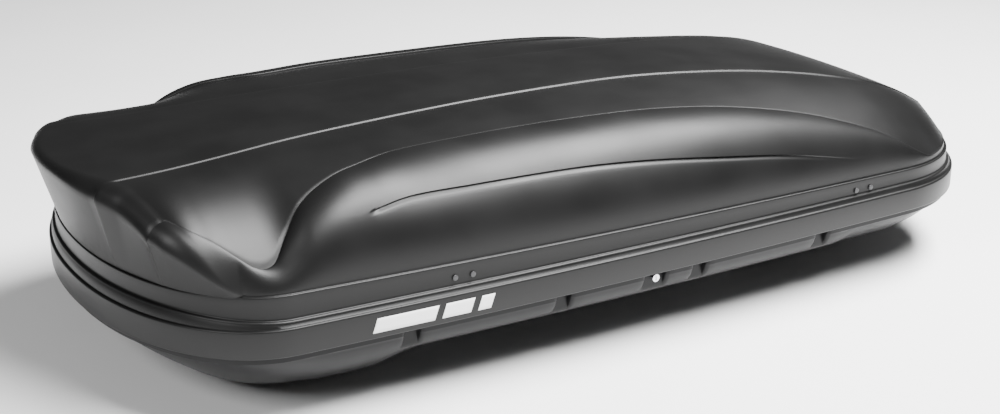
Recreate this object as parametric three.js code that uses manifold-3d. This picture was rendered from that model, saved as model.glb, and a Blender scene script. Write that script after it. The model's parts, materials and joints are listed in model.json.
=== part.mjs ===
// Roof cargo box: hinged lid, base tray, hinges, lid stays, central lock and roof-bar clamps.
// Millimetres, +Z up, +X towards the nose, +Y towards the hinge side, -Y towards the lock side.
// The shapes below are worked out from the tail of the rim (x = 0), the middle plane (y = 0) and
// the lower edge of the lid rim (z = 0). One group at the end moves them to the part's own frame.
import * as THREE from 'three';
import { mergeVertices } from 'three/addons/utils/BufferGeometryUtils.js';
import Module from 'manifold-3d';

// ---- overall sizes
const RIM_LENGTH = 1622;
const RIM_WIDTH = 790;
const LID_RISE = 240;
const BASE_DROP = 125;
const LIP_OVERHANG = 24;

// ---- plan outline of the rim
const TAIL_ROUND = 216;
const TAIL_POWER = 2.1;
const NOSE_ROUND = 272;
const NOSE_POWER = 2.3;
const SIDE_BOW = 0.06;
const WIDEST_AT = 0.58;

// ---- rim band of the lid
const LEDGE_TAIL = 92;
const LEDGE_NOSE = 68;
const BEAD_TAIL = 44;
const BEAD_NOSE = 38.5;
const BAND_INSET = 12.5;
const FOOT_INSET = 18;

// ---- walls and clearances
const LID_WALL = 4;
const BASE_WALL = 4;
const GAP = 0.4;
const FIT_GAP = 1.2;
const RIM_TO_BASE = 8.5;

// ---- lid styling
const CROWN = 4;
const CREST_STEP = 2.5;
const ARCH_STEP = 3;
const SIDE_POWER = 2;
const CORNER_POWER = 1.3;
const TAIL_ROLL = 2.2;
const NOSE_ROLL = 1.7;
const LIP_ROUND = 14;
const LIP_ROLL = 14;
const LIP_BOW = 215;
const CORNER_AT = 150;
const CORNER_TUCK = 0.065;
const V_END = 400;

// ---- base tray
const TRAY_RISE = 28;
const FLOOR_DROP = 45;
const FRONT_WELL_DROP = 95;
const REAR_WELL_END = 382;
const FRONT_WELL_START = 1245;
const WELL_RAMP = 42;
const FLOOR_ROUND = 38;
const WELL_ROUND = 255;
const WELL_BEND = 1.6;
const WELL_EASE = 0.8;

// ---- notches and hinges
const NOTCH_COUNT = 4;
const NOTCH_SPACING = 256;
const NOTCH_MIDDLE = 777;
const NOTCH_WIDTH = 25;
const HINGE_Y = 372;
const HINGE_Z = -8;
const PIN_RADIUS = 3;
const KNUCKLE_RADIUS = 7;
const LEAF_THICKNESS = 2.5;

// ---- lid stays
const STAY_REAR_X = 235;
const STAY_FRONT_X = 1330;
const STAY_LOW = [-69.5, -35.2];
const STAY_HIGH = [-261.3, 140.2];
const STUD_RADIUS = 4;
const STAY_TUBE_RADIUS = 11;
const STAY_TUBE_LENGTH = 145;
const STAY_ROD_RADIUS = 4.5;
const OPEN_PIVOT_PLAY = 6.2;

// ---- central lock
const LOCK_X = 818;
const HOOK_SPACING = 300;
const HOOK_TRAVEL = 18;
const KEY_RADIUS = 6.5;
const KEY_Z = -11;
const RAIL_OVERRUN = 30;
const STRIKER_Z = 30;
const STRIKER_RADIUS = 3.5;

// ---- roof-bar clamps
const BAR_SPACING = 560;
const CLAMP_Y = 190;
const U_BOLT_RADIUS = 3.5;
const U_BOLT_SPAN = 70;
const ROOF_BAR_HEIGHT = 34;
const FLOOR_RAIL_WIDTH = 56;
const FLOOR_RAIL_THICKNESS = 3;
const KNOB_RADIUS = 20;
const KNOB_HEIGHT = 22;

// ---- small parts
const SCREW_HEAD_RADIUS = 4.5;
const SCREW_SHANK_RADIUS = 2;
const STRAP_WIDTH = 25;
const STRAP_THICKNESS = 1.6;
const BADGE_LENGTH = 196;

const wasm = await Module();
wasm.setup();

// ------------------------------------------------------------------ curves and outlines

function ramp(start, end, x) {
  const t = Math.min(1, Math.max(0, (x - start) / (end - start)));
  return t * t * (3 - 2 * t);
}

function mix(a, b, t) {
  return a + (b - a) * t;
}

// A smooth line through [place, value] knots.
function smoothLine(knots) {
  const slopes = knots.map((knot, i) => {
    const before = knots[Math.max(0, i - 1)];
    const after = knots[Math.min(knots.length - 1, i + 1)];
    return (after[1] - before[1]) / (after[0] - before[0]);
  });
  return (place) => {
    const x = Math.min(knots.at(-1)[0], Math.max(knots[0][0], place));
    let i = 0;
    while (i < knots.length - 2 && x > knots[i + 1][0]) i += 1;
    const width = knots[i + 1][0] - knots[i][0];
    const t = (x - knots[i][0]) / width;
    const u = 1 - t;
    const from = u * u * (1 + 2 * t) * knots[i][1] + u * u * t * width * slopes[i];
    const to = t * t * (3 - 2 * t) * knots[i + 1][1] - t * t * u * width * slopes[i + 1];
    return from + to;
  };
}

// The long styling lines, as shares of the rim length, of half the width and of the lid's rise.
const roofLine = smoothLine([
  [-0.02, 0.94], [0.1, 0.953], [0.2, 0.984], [0.34, 1], [0.45, 1], [0.55, 0.985], [0.65, 0.95],
  [0.75, 0.885], [0.85, 0.775], [0.92, 0.635], [0.98, 0.42], [1, 0.3],
]);
const crestLine = smoothLine([
  [0, 0.385], [0.06, 0.372], [0.12, 0.347], [0.24, 0.304], [0.37, 0.271], [0.5, 0.254],
  [0.58, 0.25], [0.66, 0.278], [0.74, 0.32], [0.8, 0.37], [0.85, 0.42], [0.9, 0.435], [1, 0.43],
]);
const archSpread = smoothLine([
  [0, 0.52], [0.028, 0.545], [0.054, 0.696], [0.075, 0.754], [0.0955, 0.81], [0.105, 0.832],
  [0.116, 0.84], [0.127, 0.826], [0.1406, 0.78], [0.1615, 0.727], [0.195, 0.684], [0.23, 0.648],
  [0.264, 0.613], [0.327, 0.61], [0.42, 0.602], [0.5295, 0.613], [0.601, 0.638], [0.669, 0.678],
  [0.74, 0.734], [0.805, 0.823], [0.839, 0.873], [0.875, 0.911],
]);
const archHeight = smoothLine([
  [0, 0.845], [0.028, 0.817], [0.054, 0.758], [0.075, 0.675], [0.0955, 0.5625], [0.105, 0.515],
  [0.116, 0.496], [0.127, 0.525], [0.1406, 0.63], [0.1615, 0.779], [0.195, 0.879],
  [0.23, 0.9125], [0.264, 0.927], [0.327, 0.9375], [0.42, 0.93], [0.5295, 0.904], [0.601, 0.867],
  [0.669, 0.804], [0.74, 0.704], [0.805, 0.567], [0.839, 0.4625], [0.875, 0.33],
]);

function sideBow(x) {
  const off = (x - WIDEST_AT * RIM_LENGTH) / (RIM_LENGTH / 2);
  return 1 - SIDE_BOW * off * off;
}

// Half the rim's width at x, measured inset from the outline.
function halfWidth(x, inset) {
  let share = 1;
  if (x < TAIL_ROUND) {
    const u = Math.min(1, (TAIL_ROUND - x) / (TAIL_ROUND - inset));
    share = (1 - u ** TAIL_POWER) ** (1 / TAIL_POWER);
  }
  if (x > RIM_LENGTH - NOSE_ROUND) {
    const u = Math.min(1, (x - RIM_LENGTH + NOSE_ROUND) / (NOSE_ROUND - inset));
    share = (1 - u ** NOSE_POWER) ** (1 / NOSE_POWER);
  }
  return (RIM_WIDTH / 2 - inset) * share * sideBow(x);
}

function ledgeHeight(x) {
  return mix(LEDGE_TAIL, LEDGE_NOSE, x / RIM_LENGTH);
}

function beadHeight(x) {
  return mix(BEAD_TAIL, BEAD_NOSE, x / RIM_LENGTH);
}

// Points round the inset outline, from the tail's middle by the +Y side to the nose and back.
function outlinePoints(inset, roundSteps, sideSteps) {
  const half = [];
  for (let i = 0; i <= roundSteps; i += 1) {
    const a = (i / roundSteps) * (Math.PI / 2);
    const x = TAIL_ROUND - (TAIL_ROUND - inset) * Math.cos(a) ** (2 / TAIL_POWER);
    half.push([x, halfWidth(x, inset)]);
  }
  const straight = RIM_LENGTH - NOSE_ROUND - TAIL_ROUND;
  for (let i = 1; i < sideSteps; i += 1) {
    const x = TAIL_ROUND + (straight * i) / sideSteps;
    half.push([x, halfWidth(x, inset)]);
  }
  for (let i = 0; i <= roundSteps; i += 1) {
    const a = (i / roundSteps) * (Math.PI / 2);
    const x = RIM_LENGTH - NOSE_ROUND + (NOSE_ROUND - inset) * Math.sin(a) ** (2 / NOSE_POWER);
    half.push([x, halfWidth(x, inset)]);
  }
  half[0][1] = 0;
  half.at(-1)[1] = 0;
  const back = half.slice(1, -1).reverse().map(([x, y]) => [x, -y]);
  return [...half, ...back];
}

// ------------------------------------------------------------------ solids

function signedVolume(points, faces) {
  const a = new THREE.Vector3();
  let sum = 0;
  for (const [i, j, k] of faces) {
    sum += a.crossVectors(points[i], points[j]).dot(points[k]);
  }
  return sum;
}

function facesToGeometry(points, faces) {
  const turned = signedVolume(points, faces) < 0;
  const geometry = new THREE.BufferGeometry();
  const flat = points.flatMap((p) => [p.x, p.y, p.z]);
  geometry.setAttribute('position', new THREE.Float32BufferAttribute(flat, 3));
  geometry.setIndex(faces.flatMap(([i, j, k]) => (turned ? [i, k, j] : [i, j, k])));
  return geometry;
}

// A skin through closed rings of equal point counts, with flat ends or joined to itself.
function loft(rings, joined = false) {
  const count = rings[0].length;
  const points = rings.flat();
  const faces = [];
  const spans = joined ? rings.length : rings.length - 1;
  for (let r = 0; r < spans; r += 1) {
    const next = (r + 1) % rings.length;
    for (let i = 0; i < count; i += 1) {
      const j = (i + 1) % count;
      const a = r * count + i;
      const b = r * count + j;
      const c = next * count + j;
      const d = next * count + i;
      faces.push([a, b, c], [a, c, d]);
    }
  }
  if (!joined) {
    for (const end of [0, rings.length - 1]) {
      const hub = new THREE.Vector3();
      rings[end].forEach((p) => hub.addScaledVector(p, 1 / count));
      points.push(hub);
      for (let i = 0; i < count; i += 1) {
        const a = end * count + i;
        const b = end * count + ((i + 1) % count);
        faces.push(end === 0 ? [points.length - 1, b, a] : [points.length - 1, a, b]);
      }
    }
  }
  return facesToGeometry(points, faces);
}

function weld(geometry) {
  const bare = geometry.clone();
  bare.deleteAttribute('normal');
  bare.deleteAttribute('uv');
  const merged = mergeVertices(bare, 1e-4);
  const index = merged.getIndex().array;
  const kept = [];
  for (let i = 0; i < index.length; i += 3) {
    const [a, b, c] = [index[i], index[i + 1], index[i + 2]];
    if (a !== b && b !== c && a !== c) kept.push(a, b, c);
  }
  merged.setIndex(kept);
  return merged;
}

function toSolid(geometry) {
  const merged = weld(geometry);
  const vertProperties = new Float32Array(merged.getAttribute('position').array);
  const triVerts = new Uint32Array(merged.getIndex().array);
  return new wasm.Manifold(new wasm.Mesh({ numProp: 3, vertProperties, triVerts }));
}

function toGeometry(solid) {
  const { vertProperties, triVerts } = solid.getMesh();
  const geometry = new THREE.BufferGeometry();
  geometry.setAttribute('position', new THREE.BufferAttribute(new Float32Array(vertProperties), 3));
  geometry.setIndex(new THREE.BufferAttribute(new Uint32Array(triVerts), 1));
  return geometry;
}

function block(x0, x1, y0, y1, z0, z1) {
  const geometry = new THREE.BoxGeometry(x1 - x0, y1 - y0, z1 - z0);
  geometry.translate((x0 + x1) / 2, (y0 + y1) / 2, (z0 + z1) / 2);
  return geometry;
}

// A round bar between two values of x, y or z.
function bar(axis, from, to, a, b, radius, sides = 16) {
  const geometry = new THREE.CylinderGeometry(radius, radius, to - from, sides);
  const middle = (from + to) / 2;
  if (axis === 'x') {
    geometry.rotateZ(Math.PI / 2);
    geometry.translate(middle, a, b);
  }
  if (axis === 'y') {
    geometry.translate(a, middle, b);
  }
  if (axis === 'z') {
    geometry.rotateX(Math.PI / 2);
    geometry.translate(a, b, middle);
  }
  return geometry;
}

// A (y, z) outline pulled along x.
function pulledAlongX(outline, x0, x1) {
  const shape = outline instanceof THREE.Shape ? outline : new THREE.Shape(outline);
  const geometry = new THREE.ExtrudeGeometry(shape, {
    depth: x1 - x0,
    bevelEnabled: false,
    curveSegments: 8,
  });
  const turn = new THREE.Matrix4().makeBasis(
    new THREE.Vector3(0, 1, 0),
    new THREE.Vector3(0, 0, 1),
    new THREE.Vector3(1, 0, 0),
  );
  geometry.applyMatrix4(turn);
  geometry.translate(x0, 0, 0);
  return geometry;
}

function polygon(pairs) {
  return pairs.map(([a, b]) => new THREE.Vector2(a, b));
}

// An (x, z) outline pulled along y, from y0 to y1.
function pulledAlongY(pairs, y0, y1) {
  const geometry = new THREE.ExtrudeGeometry(new THREE.Shape(polygon(pairs)), {
    depth: y1 - y0,
    bevelEnabled: false,
  });
  const turn = new THREE.Matrix4().makeBasis(
    new THREE.Vector3(1, 0, 0),
    new THREE.Vector3(0, 0, 1),
    new THREE.Vector3(0, -1, 0),
  );
  geometry.applyMatrix4(turn);
  geometry.translate(0, y1, 0);
  return geometry;
}

function join(...geometries) {
  return toGeometry(geometries.map(toSolid).reduce((sum, next) => sum.add(next)));
}

function cut(from, ...tools) {
  return toGeometry(tools.map(toSolid).reduce((sum, tool) => sum.subtract(tool), toSolid(from)));
}

// ------------------------------------------------------------------ lid

// The edge of the tail lip, as x over y.
function lipRound(y) {
  return LIP_ROUND + LIP_ROLL * ramp(40, 170, Math.abs(y));
}

function lipEdge(y) {
  const across = y / (RIM_WIDTH / 2);
  return -LIP_OVERHANG + lipRound(y) + LIP_BOW * across ** 2;
}

function sideFoot(x, wall) {
  const at = Math.max(x, CORNER_AT);
  return halfWidth(at, FOOT_INSET + wall);
}

function crestAt(x, wall) {
  const reach = sideFoot(x, wall);
  const y = Math.min((crestLine(x / RIM_LENGTH) * RIM_WIDTH) / 2, reach * 0.86);
  return [y, roofLine(x / RIM_LENGTH) * LID_RISE - CROWN - wall];
}

function archAt(x, wall) {
  const foot = sideFoot(x, wall);
  const y = Math.min((archSpread(x / RIM_LENGTH) * RIM_WIDTH) / 2 - wall, foot - 3);
  const z = Math.max(archHeight(x / RIM_LENGTH) * LID_RISE - wall, ledgeHeight(x) + 4);
  const crest = crestAt(x, wall);
  return [Math.max(y, crest[0] + (foot - crest[0]) * 0.4), Math.min(z, crest[1] - 1)];
}

// Height of the roof between the middle and the arch line.
function roofHeight(x, y, wall) {
  const [crestY, crestZ] = crestAt(x, wall);
  if (y <= crestY) return crestZ + CROWN * (1 - (y / crestY) ** 2);
  const [archY, archZ] = archAt(x, wall);
  const drop = crestZ - archZ;
  const power = mix(TAIL_ROLL, NOSE_ROLL, ramp(0.1 * RIM_LENGTH, 0.3 * RIM_LENGTH, x));
  return crestZ - drop * Math.min(1, (y - crestY) / (archY - crestY)) ** power;
}

// How far the roof drops outside the crest line, which ends short of the lip and of the nose.
function crestStep(x) {
  return CREST_STEP * ramp(26, 46, x) * (1 - ramp(0.95, 0.99, x / RIM_LENGTH));
}

const MIDDLE_SHARES = [0, 0.5, 1];
const ROOF_SHARES = [0.3, 0.58, 0.8, 1];
const SIDE_SHARES = [0, 0.16, 0.34, 0.52, 0.72, 1];

// One half cross-section of the lid body, from the middle out to its foot.
function lidSection(station, wall) {
  const stepped = wall === 0;
  const along = 1 - ramp(0, CORNER_AT * 2.7, station);
  const points = [];
  const place = (rearX, finder) => {
    const x = station + (rearX + wall) * along;
    const [y, z] = finder(x);
    points.push(new THREE.Vector3(x, y, z));
  };
  for (const share of MIDDLE_SHARES) {
    const guide = crestAt(0, 0)[0] * share;
    place(lipEdge(guide), (x) => {
      const y = crestAt(x, wall)[0] * share;
      return [y, roofHeight(x, y, wall)];
    });
  }
  if (stepped) {
    place(lipEdge(crestAt(0, 0)[0]), (x) => {
      const y = crestAt(x, wall)[0] + 3;
      return [y, roofHeight(x, y, wall) - crestStep(x)];
    });
  }
  for (const share of ROOF_SHARES) {
    const guide = mix(crestAt(0, 0)[0], archAt(0, 0)[0], share);
    place(lipEdge(guide), (x) => {
      const y = mix(crestAt(x, wall)[0] + 3, archAt(x, wall)[0], share);
      const sink = stepped ? crestStep(x) * (1 - share) : 0;
      return [y, roofHeight(x, y, wall) - sink];
    });
  }
  const archEdge = lipEdge(archAt(0, 0)[0]);
  for (const share of SIDE_SHARES) {
    const angle = (share * Math.PI) / 2;
    place(mix(archEdge, CORNER_AT, share), (x) => {
      const [archY, archZ] = archAt(x, wall);
      const foot = sideFoot(x, wall);
      const footZ = ledgeHeight(x) + 2 - wall / 2;
      const power = mix(CORNER_POWER, SIDE_POWER, ramp(0.08 * RIM_LENGTH, 0.19 * RIM_LENGTH, x));
      const out = Math.sin(angle) ** (2 / power);
      const up = Math.cos(angle) ** (2 / power);
      const step = stepped ? ARCH_STEP * (1 - ramp(0.8, 0.87, x / RIM_LENGTH)) : 0;
      const startY = Math.min(archY + step * 0.8, foot - 1);
      return [mix(startY, foot, out), mix(footZ, archZ + step * 0.6, up)];
    });
  }
  const last = points.at(-1);
  points.push(new THREE.Vector3(last.x, last.y, ledgeHeight(last.x) - 12));
  return points;
}

function mirrored(half) {
  const other = half.slice(1).reverse().map((p) => new THREE.Vector3(p.x, -p.y, p.z));
  return [...other, ...half];
}

// The undercut tail face: rows from the lip down to the rim's ledge.
function tailRows(edge, wall) {
  const foot = edge.at(-2);
  const ledge = edge.map((p) => {
    const high = Math.max(0, (p.z - ledgeHeight(0)) / LEDGE_TAIL);
    const y = Math.min(foot.y, p.y * (1 - CORNER_TUCK * high * (p.y / foot.y) ** 2));
    let x = CORNER_AT;
    for (let i = 0; i < 40; i += 1) {
      const found = halfWidth(x - CORNER_AT / 40, FOOT_INSET + wall);
      if (found < y) break;
      x -= CORNER_AT / 40;
    }
    const low = x - CORNER_AT / 40;
    const inner = halfWidth(low, FOOT_INSET + wall);
    const outer = halfWidth(x, FOOT_INSET + wall);
    const t = outer > inner ? Math.max(0, Math.min(1, (y - inner) / (outer - inner))) : 0;
    const at = Math.max(FOOT_INSET + wall, mix(low, x, t));
    return new THREE.Vector3(Math.min(at, p.x + 500), y, ledgeHeight(0) - 12);
  });
  const rows = [];
  for (const [back, down] of [[0.5, 0.14], [0.86, 0.46], [1, 1]]) {
    rows.push(edge.map((p, i) => {
      const size = lipRound(p.y) * Math.min(1, Math.max(0, p.z - ledge[i].z - 12) / 90);
      return new THREE.Vector3(p.x - size * back, p.y, p.z - size * down);
    }));
  }
  for (const t of [0.4, 0.75, 1]) {
    rows.push(rows[2].map((p, i) => new THREE.Vector3().lerpVectors(p, ledge[i], t)));
  }
  return rows;
}

// Both skins share their closely set rear stations, so the wall keeps its thickness in the V.
function lidBody(wall, frontSteps) {
  const end = RIM_LENGTH - FOOT_INSET - wall - 3;
  const stations = [];
  for (let x = 0; x < V_END; x += V_END / 17) stations.push(x);
  for (let i = 0; i < frontSteps; i += 1) stations.push(mix(V_END, end - 30, i / frontSteps));
  for (const back of [30, 14, 5, 0]) stations.push(end - back);
  const halves = stations.map((x) => lidSection(x, wall));
  const rows = tailRows(halves[0], wall).reverse();
  return loft([...rows, ...halves].map(mirrored));
}

// The rim, as rings of [inset, height] going up. The inner one is open below.
function rimStack(wall, steps, sides) {
  const rows = [
    [0, () => (wall > 0 ? -6 : 0)],
    [0, (x) => beadHeight(x) - 7],
    [1, (x) => beadHeight(x) - 2],
    [4.5, (x) => beadHeight(x) + 3],
    [10, (x) => beadHeight(x) + 7],
    [BAND_INSET, (x) => beadHeight(x) + 12],
    [BAND_INSET, (x) => ledgeHeight(x) - 3],
    [BAND_INSET + 1.5, (x) => ledgeHeight(x) - 0.5],
    [FOOT_INSET + 3, (x) => ledgeHeight(x) + 1],
  ];
  const rings = rows.map(([inset, height], i) => {
    const drop = i > 1 ? wall * 0.6 : 0;
    const ring = outlinePoints(inset + wall, steps, sides);
    return ring.map(([x, y]) => new THREE.Vector3(x, y, height(x) - drop));
  });
  return loft(rings);
}

const screwPlaces = [0.285, 0.303, 0.76, 0.78].map((share) => share * RIM_LENGTH);

function screwHeight(x) {
  return mix(beadHeight(x), ledgeHeight(x), 0.5);
}

function lidShell() {
  const outer = toSolid(lidBody(0, 19)).add(toSolid(rimStack(0, 8, 10)));
  const inner = toSolid(lidBody(LID_WALL, 10)).add(toSolid(rimStack(LID_WALL, 8, 10)));
  let shell = outer.subtract(inner);
  for (const x of screwPlaces) {
    const y = halfWidth(x, BAND_INSET);
    shell = shell.subtract(toSolid(bar('y', -y - 10, -y + 20, x, screwHeight(x), SCREW_SHANK_RADIUS + GAP, 10)));
  }
  return toGeometry(shell);
}

// ------------------------------------------------------------------ base tray

function wellShare(x) {
  const rear = 1 - ramp(REAR_WELL_END - WELL_RAMP, REAR_WELL_END + WELL_RAMP, x);
  const front = ramp(FRONT_WELL_START - WELL_RAMP, FRONT_WELL_START + WELL_RAMP, x);
  return [rear, front];
}

function trayDepth(x) {
  const [rear, front] = wellShare(x);
  return FLOOR_DROP + rear * (BASE_DROP - FLOOR_DROP) + front * (FRONT_WELL_DROP - FLOOR_DROP);
}

function trayRound(x) {
  const [rear, front] = wellShare(x);
  return FLOOR_ROUND + (rear + front) * (WELL_ROUND - FLOOR_ROUND);
}

// Height of the tray's outer face at a distance in from its wall.
function trayHeight(x, inset, wall) {
  const t = Math.min(1, Math.max(0, (inset - RIM_TO_BASE - 3) / trayRound(x)));
  const [rear, front] = wellShare(x);
  const fromEnd = ramp(100, 300, Math.min(x, RIM_LENGTH - x));
  const soft = (rear + front) * mix(1, 0.1, fromEnd);
  return -trayDepth(x) * (1 - (1 - t) ** mix(2, WELL_BEND, soft)) ** mix(0.5, WELL_EASE, soft) + wall;
}

// The same between the end rounds, at a place across the tray.
function trayHeightAt(x, y, wall) {
  return trayHeight(x, RIM_TO_BASE + 3 + halfWidth(x, RIM_TO_BASE + wall) - Math.abs(y), wall);
}

function traySolid(wall, roundSteps, sideSteps) {
  const outline = outlinePoints(RIM_TO_BASE + wall, roundSteps, sideSteps);
  const spineFrom = TAIL_ROUND;
  const spineTo = RIM_LENGTH - NOSE_ROUND;
  const top = TRAY_RISE + (wall > 0 ? 10 : 0);
  const rings = [top, -10 + wall].map((z) => outline.map(([x, y]) => new THREE.Vector3(x, y, z)));
  const reach = RIM_WIDTH / 2 - RIM_TO_BASE - wall;
  for (const inset of [2, 6, 12, 20, 34, 52, 75, 105, 145, 200, 290, reach]) {
    rings.push(outline.map(([x, y]) => {
      const spine = Math.min(spineTo, Math.max(spineFrom, x));
      const t = inset / reach;
      const px = mix(x, spine, t);
      const away = t * Math.hypot(x - spine, y);
      const low = Math.min(-10 + wall, trayHeight(px, RIM_TO_BASE + 3 + away, wall));
      return new THREE.Vector3(px, y * (1 - t), low);
    }));
  }
  const count = outline.length;
  const points = rings.flat();
  const faces = [];
  for (let r = 0; r < rings.length - 1; r += 1) {
    for (let i = 0; i < count; i += 1) {
      const j = (i + 1) % count;
      const [a, b, c, d] = [r * count + i, r * count + j, (r + 1) * count + j, (r + 1) * count + i];
      faces.push([a, b, c], [a, c, d]);
    }
  }
  points.push(new THREE.Vector3(RIM_LENGTH / 2, 0, top));
  for (let i = 0; i < count; i += 1) faces.push([points.length - 1, (i + 1) % count, i]);
  return toSolid(facesToGeometry(points, faces));
}

function notchPlaces() {
  const places = [];
  for (let i = 0; i < NOTCH_COUNT; i += 1) {
    places.push(NOTCH_MIDDLE + (i - (NOTCH_COUNT - 1) / 2) * NOTCH_SPACING);
  }
  return places;
}

const NOTCH_BACK = HINGE_Y - KNUCKLE_RADIUS - LEAF_THICKNESS - GAP;
const NOTCH_TOP = 2;
const KEY_POCKET_HALF = 20;
const KEY_POCKET_DEEP = 12;

const clampPlaces = [-1, 1].map((side) => NOTCH_MIDDLE + (side * BAR_SPACING) / 2);
const railY = halfWidth(LOCK_X - HOOK_SPACING - RAIL_OVERRUN - 15, 22);
const keyPocketBack = halfWidth(LOCK_X, RIM_TO_BASE + KEY_POCKET_DEEP);

function baseShell() {
  const outer = traySolid(0, 8, 20);
  let shell = outer.subtract(traySolid(BASE_WALL, 8, 20));
  const half = NOTCH_WIDTH / 2;
  const walls = [];
  const spaces = [];
  for (const x of notchPlaces()) {
    for (const side of [-1, 1]) {
      const back = side > 0 ? NOTCH_BACK : halfWidth(x, RIM_TO_BASE + 14);
      const ys = [side * (back - BASE_WALL), side * (RIM_WIDTH / 2 + 5)].sort((a, b) => a - b);
      const cutYs = [side * back, side * (RIM_WIDTH / 2 + 5)].sort((a, b) => a - b);
      const top = side > 0 ? NOTCH_TOP : -4;
      walls.push(block(x - half - BASE_WALL, x + half + BASE_WALL, ys[0], ys[1], -70, top + BASE_WALL));
      spaces.push(block(x - half, x + half, cutYs[0], cutYs[1], -71, top));
    }
  }
  const keyHalf = KEY_POCKET_HALF;
  walls.push(block(LOCK_X - keyHalf - BASE_WALL, LOCK_X + keyHalf + BASE_WALL, -RIM_WIDTH / 2 - 5,
    -keyPocketBack + BASE_WALL, -70, BASE_WALL));
  spaces.push(block(LOCK_X - keyHalf, LOCK_X + keyHalf, -RIM_WIDTH / 2 - 6, -keyPocketBack, -71, 0));
  spaces.push(bar('y', -keyPocketBack - 1, -keyPocketBack + BASE_WALL + 1, LOCK_X, KEY_Z, KEY_RADIUS + 1, 20));
  for (const wall of walls) shell = shell.add(toSolid(wall).intersect(outer));
  for (const space of spaces) shell = shell.subtract(toSolid(space));
  for (const x of clampPlaces) {
    for (const y of [-CLAMP_Y, CLAMP_Y]) {
      for (const leg of [-1, 1]) {
        const at = x + (leg * U_BOLT_SPAN) / 2;
        shell = shell.subtract(toSolid(bar('z', -FLOOR_DROP - 10, -FLOOR_DROP + 20, at, y, U_BOLT_RADIUS + 1.5, 12)));
      }
    }
  }
  return toGeometry(shell);
}

function rimSeal() {
  const inner = outlinePoints(RIM_TO_BASE + BASE_WALL + 1, 8, 14);
  const outer = outlinePoints(RIM_TO_BASE - 1, 8, 14);
  const low = TRAY_RISE + GAP;
  const high = low + 4.5;
  const rings = outer.map(([x, y], i) => [
    new THREE.Vector3(x, y, low),
    new THREE.Vector3(x, y, high - 1.5),
    new THREE.Vector3(mix(x, inner[i][0], 0.5), mix(y, inner[i][1], 0.5), high),
    new THREE.Vector3(inner[i][0], inner[i][1], high - 1.5),
    new THREE.Vector3(inner[i][0], inner[i][1], low),
  ]);
  return loft(rings, true);
}

// ------------------------------------------------------------------ hinges

function circleOutline(y, z, radius) {
  const shape = new THREE.Shape();
  shape.absarc(y, z, radius, 0, Math.PI * 2);
  return shape;
}

function hingeBaseLeaf(x) {
  const half = NOTCH_WIDTH / 2 - 1;
  const back = NOTCH_BACK + GAP;
  const plate = block(x - half, x + half, back, back + LEAF_THICKNESS, -36, NOTCH_TOP - 1);
  const web = block(x - 5.5, x + 5.5, back + 1, HINGE_Y, HINGE_Z - 5, HINGE_Z + 3);
  const knuckle = bar('x', x - 5.5, x + 5.5, HINGE_Y, HINGE_Z, KNUCKLE_RADIUS, 18);
  const bore = bar('x', x - 20, x + 20, HINGE_Y, HINGE_Z, PIN_RADIUS + GAP, 18);
  return cut(join(plate, web, knuckle), bore);
}

function hingeLidLeaf(x) {
  const half = NOTCH_WIDTH / 2 - 1;
  const face = Math.min(halfWidth(x - half, LID_WALL), halfWidth(x + half, LID_WALL)) - GAP;
  const plate = block(x - half, x + half, face - LEAF_THICKNESS, face, HINGE_Z, TRAY_RISE);
  const foot = block(x - half, x + half, HINGE_Y, face, HINGE_Z + 1.5, HINGE_Z + 1.5 + LEAF_THICKNESS);
  const knuckle = bar('x', x - half, x + half, HINGE_Y, HINGE_Z, KNUCKLE_RADIUS, 14);
  const bore = bar('x', x - 20, x + 20, HINGE_Y, HINGE_Z, PIN_RADIUS + GAP, 14);
  const middle = block(x - 6.1, x + 6.1, HINGE_Y - 10, HINGE_Y + KNUCKLE_RADIUS + 1, HINGE_Z - 10, HINGE_Z + 9);
  return cut(join(plate, foot, knuckle), bore, middle);
}

function hingePin(x) {
  return bar('x', x - NOTCH_WIDTH / 2 + 0.7, x + NOTCH_WIDTH / 2 - 0.7, HINGE_Y, HINGE_Z, PIN_RADIUS, 18);
}

// ------------------------------------------------------------------ lid stays

const stayLow = [HINGE_Y + STAY_LOW[0], HINGE_Z + STAY_LOW[1]];
const stayHigh = [HINGE_Y + STAY_HIGH[0], HINGE_Z + STAY_HIGH[1]];
const stayLength = Math.hypot(stayHigh[0] - stayLow[0], stayHigh[1] - stayLow[1]);
const stayTilt = Math.atan2(stayHigh[1] - stayLow[1], stayHigh[0] - stayLow[0]);
const RIB_HEIGHT = 14;
const RIB_REACH = 0.74;

// Puts a piece that was made along +Y from the low stud onto the line of the stay.
function alongStay(x, geometry) {
  geometry.rotateX(stayTilt);
  geometry.translate(x, stayLow[0], stayLow[1]);
  return geometry;
}

function stayTube(x) {
  const start = 14;
  const end = start + STAY_TUBE_LENGTH;
  const tube = bar('y', start, end, 0, 0, STAY_TUBE_RADIUS, 18);
  const eye = bar('x', -4, 4, 0, 0, STUD_RADIUS + 5, 18);
  const neck = block(-4, 4, 2, start + 2, -5, 5);
  const bore = bar('y', start + 12, end + 5, 0, 0, STAY_ROD_RADIUS + GAP, 14);
  const hole = bar('x', -6, 6, 0, 0, STUD_RADIUS + GAP, 16);
  return alongStay(x, cut(join(tube, eye, neck), bore, hole));
}

function stayRod(x) {
  const hub = STUD_RADIUS + OPEN_PIVOT_PLAY;
  const rod = bar('y', 70, stayLength - hub - 2, 0, 0, STAY_ROD_RADIUS, 14);
  const eye = bar('x', -4, 4, stayLength, 0, hub + 5, 20);
  const hole = bar('x', -6, 6, stayLength, 0, hub, 20);
  return alongStay(x, cut(join(rod, eye), hole));
}

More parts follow.
